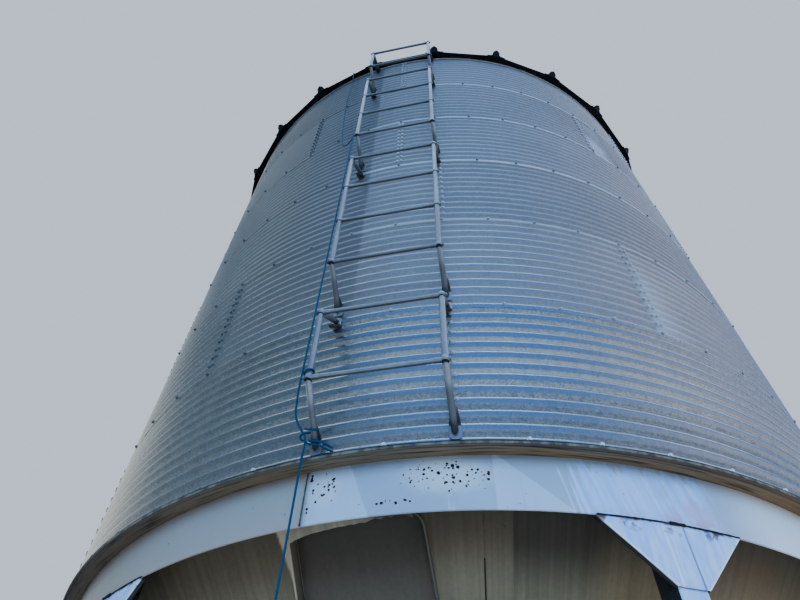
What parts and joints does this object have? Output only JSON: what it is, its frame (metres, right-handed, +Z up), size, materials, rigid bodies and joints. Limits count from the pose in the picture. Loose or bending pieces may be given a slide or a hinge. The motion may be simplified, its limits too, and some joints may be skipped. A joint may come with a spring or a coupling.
{
  "type": "grain silo",
  "caption": "Hopper-bottom grain silo: corrugated galvanised bin, ribbed cone roof with lid, steel hopper cone on legs, bolted side ladder, access opening, slide gate and pull rope.",
  "frame": {"origin": "on the silo's vertical axis, at ground level under the six base plates", "axes": "+Z up along the silo's axis; -Y towards the leg at azimuth 0; the ladder stands at azimuth 34.5 degrees, from -Y towards +X"},
  "size_m": [4.5636, 4.5636, 8.8291],
  "materials": {
    "galvanised_wall": "weathered galvanised sheet",
    "roof_steel": "weathered galvanised sheet",
    "ring_steel": "bare steel, dull brown with light rust",
    "white_paint": "brushed white paint with rust chips",
    "cone_paint": "dull weathered paint",
    "ladder_zinc": "galvanised tube",
    "rope_blue": "laid polypropylene rope"
  },
  "bodies": {
    "root": {"wall_ring_1_east": "galvanised_wall", "wall_ring_1_west": "galvanised_wall", "wall_ring_2_east": "galvanised_wall", "wall_ring_2_west": "galvanised_wall", "wall_ring_3_east": "galvanised_wall", "wall_ring_3_west": "galvanised_wall", "wall_ring_4_east": "galvanised_wall", "wall_ring_4_west": "galvanised_wall", "wall_ring_5_east": "galvanised_wall", "wall_ring_5_west": "galvanised_wall", "wall_ring_6_east": "galvanised_wall", "wall_ring_6_west": "galvanised_wall", "roof_sector_1": "roof_steel", "roof_sector_2": "roof_steel", "roof_sector_3": "roof_steel", "roof_sector_4": "roof_steel", "roof_sector_5": "roof_steel", "roof_sector_6": "roof_steel", "fill_collar": "roof_steel", "roof_lid": "roof_steel", "base_ring": "ring_steel", "hopper_band_east": "white_paint", "hopper_band_west": "white_paint", "cone_sheet_1": "cone_paint", "cone_sheet_2": "cone_paint", "cone_sheet_3": "cone_paint", "cone_sheet_4": "cone_paint", "cone_sheet_5": "cone_paint", "cone_sheet_6": "cone_paint", "hatch_frame": "cone_paint", "hatch_cover": "cone_paint", "outlet_neck": "cone_paint", "outlet_gate": "ring_steel", "leg_1": "white_paint", "leg_2": "white_paint", "leg_3": "white_paint", "leg_4": "white_paint", "leg_5": "white_paint", "leg_6": "white_paint", "ladder_section_1": "ladder_zinc", "ladder_section_2": "ladder_zinc", "ladder_section_3": "ladder_zinc", "ladder_section_4": "ladder_zinc", "pull_rope": "rope_blue", "rope_hand_loop": "rope_blue"}
  },
  "joints": []
}
